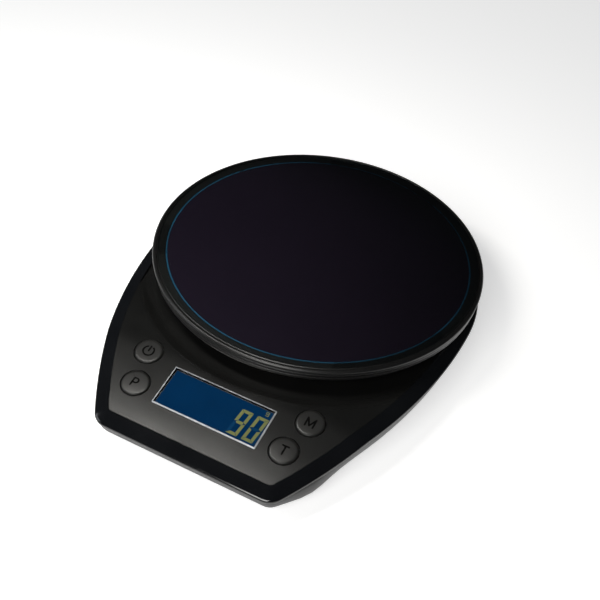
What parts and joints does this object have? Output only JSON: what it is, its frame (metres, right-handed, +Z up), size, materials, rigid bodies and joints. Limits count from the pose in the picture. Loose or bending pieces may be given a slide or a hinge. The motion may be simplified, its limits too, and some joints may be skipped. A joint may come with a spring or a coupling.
{
  "type": "letter scale",
  "caption": "Flat letter scale with a round glass weighing platform over a solar panel, a sloped front deck with a display and round push buttons, and rubber feet.",
  "frame": {"origin": "middle of the whole scale's box, on the table under the feet", "axes": "+Z up, -Y towards the user and the display, +X to the user's right"},
  "size_m": [0.165, 0.2126, 0.038],
  "materials": {
    "case_satin": "satin moulded ABS",
    "case_lower": "fine-grained moulded ABS",
    "case_gloss": "polished moulded ABS",
    "key_grey": "satin moulded ABS",
    "rubber": "matt moulded rubber",
    "steel": "zinc plated",
    "aluminium": "milled and anodised",
    "nickel": "nickel plated",
    "clear_glass": "polished",
    "clear_lens": "polished acrylic",
    "solar_film": "dark purple photovoltaic film",
    "border_ink": "black screen print",
    "ring_ink": "blue screen print",
    "foam": "closed-cell foam",
    "red_lead": "PVC insulation",
    "green_lead": "PVC insulation",
    "circuit_board": "solder mask",
    "epoxy": "potting resin",
    "component": "ceramic",
    "switch_black": "moulded nylon",
    "plunger_white": "moulded nylon",
    "display_blue": "blue liquid crystal glass",
    "figure_olive": "lit display segments",
    "light_guide": "moulded acrylic",
    "holder_white": "moulded ABS",
    "contact_rubber": "conductive elastomer",
    "gauge_silicone": "silicone coating"
  },
  "bodies": {
    "base": {"lower_case": "case_lower", "upper_case": "case_gloss", "deck_panel": "case_satin", "case_screws": "steel", "rubber_feet": "rubber", "coin_cell": "nickel", "battery_contacts": "nickel", "load_cell": "aluminium", "gauge_coating": "gauge_silicone", "cell_base_screws": "steel", "overload_pad": "rubber", "solar_leads": "red_lead", "cell_leads": "green_lead", "main_board": "circuit_board", "board_screws": "steel", "controller_chip": "epoxy", "board_components": "component", "tact_switches": "switch_black", "display_lens": "clear_lens", "display_glass": "display_blue", "display_digits": "figure_olive", "display_backlight": "light_guide", "display_holder": "holder_white", "contact_strips": "contact_rubber"},
    "platform": {"cell_spacer": "aluminium", "lift_plate": "steel", "cell_top_screws": "steel", "platform_carrier": "case_lower", "carrier_screws": "steel", "platform_tray": "case_gloss", "tray_screws": "steel", "foam_pad": "foam", "solar_panel": "solar_film", "border_print": "border_ink", "ring_print": "ring_ink", "platform_glass": "clear_glass"},
    "battery_hatch": {"battery_door": "case_lower"},
    "key_power": {"button_power": "key_grey", "plunger_power": "plunger_white"},
    "key_mode": {"button_mode": "key_grey", "plunger_mode": "plunger_white"},
    "key_count": {"button_count": "key_grey", "plunger_count": "plunger_white"},
    "key_tare": {"button_tare": "key_grey", "plunger_tare": "plunger_white"}
  },
  "joints": [
    {"name": "platform_weigh", "type": "slide", "parent": "base", "child": "platform", "axis": [0, 0, -1], "range_m": [0, 0.0008], "stiffness_N_per_m": 50000, "springref_m": -0.00012, "deforming": ["load_cell", "solar_leads"]},
    {"name": "battery_door_hinge", "type": "hinge", "parent": "base", "child": "battery_hatch", "pos_m": [-0.04, 0.01275, 0.0026], "axis": [-1, 0, 0], "range_deg": [0, 75]},
    {"name": "press_power", "type": "slide", "parent": "base", "child": "key_power", "axis": [0, 0.1633, -0.9866], "range_m": [0, 0.0008], "stiffness_N_per_m": 1000, "springref_m": -0.0005},
    {"name": "press_mode", "type": "slide", "parent": "base", "child": "key_mode", "axis": [0, 0.1633, -0.9866], "range_m": [0, 0.0008], "stiffness_N_per_m": 1000, "springref_m": -0.0005},
    {"name": "press_count", "type": "slide", "parent": "base", "child": "key_count", "axis": [0, 0.1633, -0.9866], "range_m": [0, 0.0008], "stiffness_N_per_m": 1000, "springref_m": -0.0005},
    {"name": "press_tare", "type": "slide", "parent": "base", "child": "key_tare", "axis": [0, 0.1633, -0.9866], "range_m": [0, 0.0008], "stiffness_N_per_m": 1000, "springref_m": -0.0005}
  ]
}
